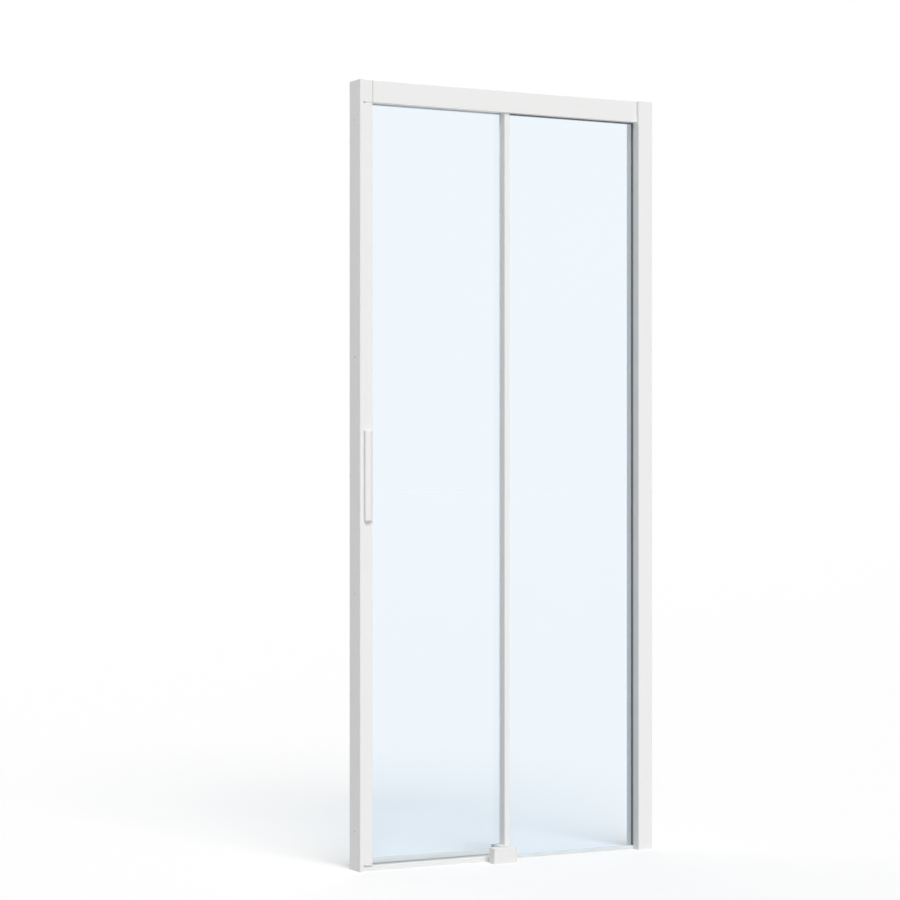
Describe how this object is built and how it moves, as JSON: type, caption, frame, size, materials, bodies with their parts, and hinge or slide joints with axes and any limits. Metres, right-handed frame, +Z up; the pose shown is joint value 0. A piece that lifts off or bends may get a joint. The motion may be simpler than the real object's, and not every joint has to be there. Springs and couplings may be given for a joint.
{
  "type": "sliding shower door",
  "caption": "Framed shower door for a niche: a glass leaf slides on rollers in the header and passes behind a fixed pane; white profiles, bar handle, floor guide.",
  "frame": {"origin": "on the left wall, at the centre line of the wall profile's face and at tray level", "axes": "+X from the left wall to the right wall, +Y from the room into the shower, +Z up"},
  "size_m": [0.87, 0.105, 2],
  "materials": {
    "white_profile": "satin white powder coat on aluminium",
    "white_plastic": "fine-grained white plastic",
    "handle": "satin light coat on an aluminium grip",
    "glass": "clear toughened safety glass, polished edges",
    "clear_seal": "translucent soft vinyl",
    "grey_gasket": "matt dark grey glazing gasket",
    "magnet_seal": "light flexible magnet strip",
    "grey_plastic": "light grey nylon",
    "rubber": "black rubber",
    "steel": "stainless steel",
    "roller_tyre": "smooth off-white acetal"
  },
  "bodies": {
    "frame": {"wall_profile_left": "white_profile", "strike_profile": "white_profile", "strike_magnet_strip": "magnet_seal", "wall_profile_right": "white_profile", "glazing_profile_right": "white_profile", "glazing_gasket_right": "grey_gasket", "glazing_gasket_top": "grey_gasket", "clamp_screws": "steel", "clamp_screw_caps": "white_plastic", "header_rail": "white_profile", "header_end_cap": "white_plastic", "header_joint_gasket": "grey_gasket", "header_connector_left": "grey_plastic", "header_connector_right": "grey_plastic", "header_screws": "steel", "connector_screws": "steel", "end_stop_left": "grey_plastic", "end_stop_right": "grey_plastic", "stop_buffers": "rubber", "stop_screws": "steel", "fixed_glass": "glass", "sill_gasket": "clear_seal", "fixed_stile": "white_profile", "stile_gasket": "grey_gasket", "stile_plugs": "grey_plastic", "stile_screws": "steel", "overlap_seal": "clear_seal", "guide_block": "white_plastic", "guide_cover": "white_plastic", "guide_shoe": "grey_plastic", "threshold_strip": "white_profile"},
    "leaf": {"leaf_glass": "glass", "closing_stile": "white_profile", "closing_stile_gasket": "grey_gasket", "leaf_magnet_seal": "magnet_seal", "stile_end_caps": "white_plastic", "handle_outer": "handle", "handle_inner": "handle", "handle_bolts": "steel", "leaf_top_rail": "white_profile", "top_rail_gasket": "grey_gasket", "carriage_left": "grey_plastic", "carriage_right": "grey_plastic", "roller_axles": "steel", "height_adjusters": "steel", "trailing_seal": "clear_seal", "drip_seal": "clear_seal"},
    "roller_1": {"roller_tyre_1": "roller_tyre", "roller_bearing_1": "steel"},
    "roller_2": {"roller_tyre_2": "roller_tyre", "roller_bearing_2": "steel"},
    "roller_3": {"roller_tyre_3": "roller_tyre", "roller_bearing_3": "steel"},
    "roller_4": {"roller_tyre_4": "roller_tyre", "roller_bearing_4": "steel"}
  },
  "joints": [
    {"name": "leaf_slide", "type": "slide", "parent": "frame", "child": "leaf", "axis": [1, 0, 0], "range_m": [0, 0.34]},
    {"name": "roller_1_spin", "type": "hinge", "parent": "leaf", "child": "roller_1", "pos_m": [0.08, 0.023, 1.9782], "axis": [0, 1, 0], "continuous": true},
    {"name": "roller_2_spin", "type": "hinge", "parent": "leaf", "child": "roller_2", "pos_m": [0.13, 0.023, 1.9782], "axis": [0, 1, 0], "continuous": true},
    {"name": "roller_3_spin", "type": "hinge", "parent": "leaf", "child": "roller_3", "pos_m": [0.359, 0.023, 1.9782], "axis": [0, 1, 0], "continuous": true},
    {"name": "roller_4_spin", "type": "hinge", "parent": "leaf", "child": "roller_4", "pos_m": [0.409, 0.023, 1.9782], "axis": [0, 1, 0], "continuous": true}
  ],
  "couplings": [
    {"joint": "roller_1_spin", "follows": "leaf_slide", "rad_per_m": 90.909},
    {"joint": "roller_2_spin", "follows": "leaf_slide", "rad_per_m": 90.909},
    {"joint": "roller_3_spin", "follows": "leaf_slide", "rad_per_m": 90.909},
    {"joint": "roller_4_spin", "follows": "leaf_slide", "rad_per_m": 90.909}
  ]
}
